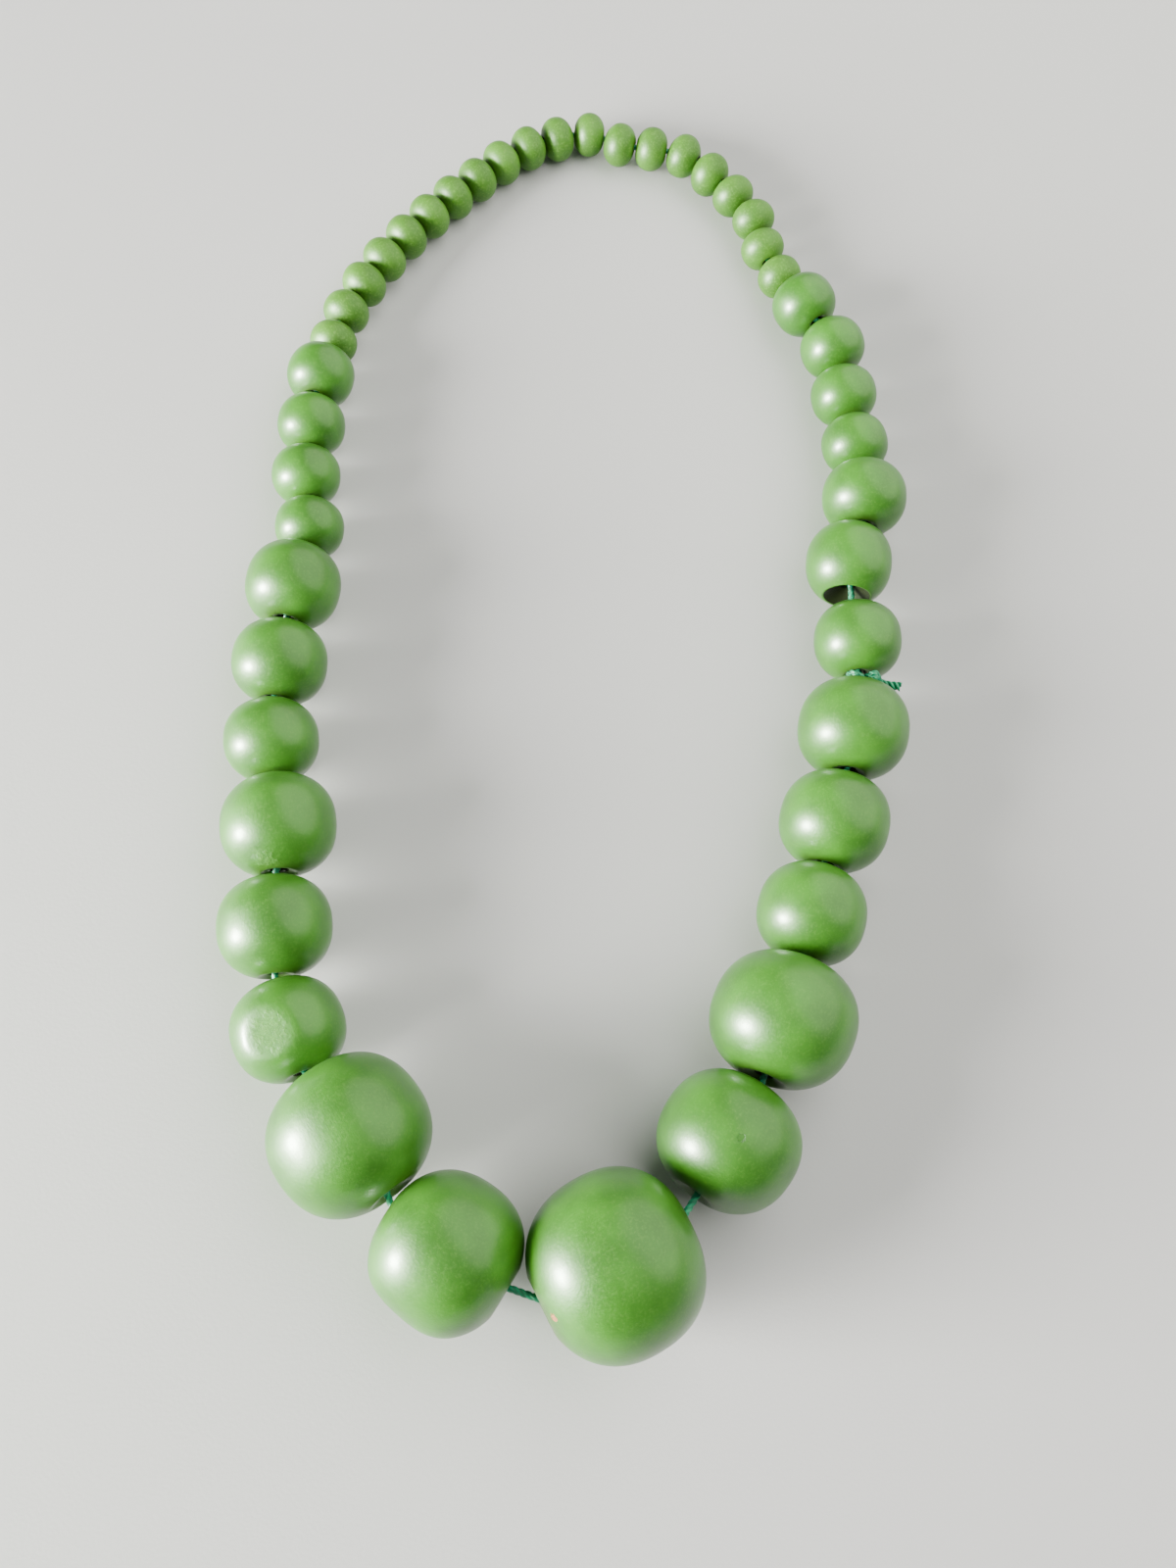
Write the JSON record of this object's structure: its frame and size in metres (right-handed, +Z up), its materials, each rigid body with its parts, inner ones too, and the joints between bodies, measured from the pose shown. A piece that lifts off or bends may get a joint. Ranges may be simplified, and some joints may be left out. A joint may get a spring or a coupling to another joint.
{
  "type": "beaded necklace",
  "caption": "Closed string of graduated round painted wooden beads, smallest at the back of the neck and largest in front, on a knotted green thread, lying flat.",
  "frame": {"origin": "on the surface that the necklace lies on, under the middle of its box", "axes": "+Z up from the surface; +Y from the largest bead, in front, to the smallest beads, at the back; +X to the right"},
  "size_m": [0.1556, 0.3048, 0.035],
  "materials": {
    "painted_wood": "satin green lacquer over turned wood",
    "thread": "emerald green satin cord"
  },
  "bodies": {
    "root": {"bead_01": "painted_wood", "bead_02": "painted_wood", "bead_03": "painted_wood", "bead_04": "painted_wood", "bead_05": "painted_wood", "bead_06": "painted_wood", "bead_07": "painted_wood", "bead_08": "painted_wood", "bead_09": "painted_wood", "bead_10": "painted_wood", "bead_11": "painted_wood", "bead_12": "painted_wood", "bead_13": "painted_wood", "bead_14": "painted_wood", "bead_15": "painted_wood", "bead_16": "painted_wood", "bead_17": "painted_wood", "bead_18": "painted_wood", "bead_19": "painted_wood", "bead_20": "painted_wood", "bead_21": "painted_wood", "bead_22": "painted_wood", "bead_23": "painted_wood", "bead_24": "painted_wood", "bead_25": "painted_wood", "bead_26": "painted_wood", "bead_27": "painted_wood", "bead_28": "painted_wood", "bead_29": "painted_wood", "bead_30": "painted_wood", "bead_31": "painted_wood", "bead_32": "painted_wood", "bead_33": "painted_wood", "bead_34": "painted_wood", "bead_35": "painted_wood", "bead_36": "painted_wood", "bead_37": "painted_wood", "bead_38": "painted_wood", "bead_39": "painted_wood", "bead_40": "painted_wood", "bead_41": "painted_wood", "bead_42": "painted_wood", "bead_43": "painted_wood", "bead_44": "painted_wood", "bead_45": "painted_wood", "thread": "thread", "knot": "thread"}
  },
  "joints": []
}
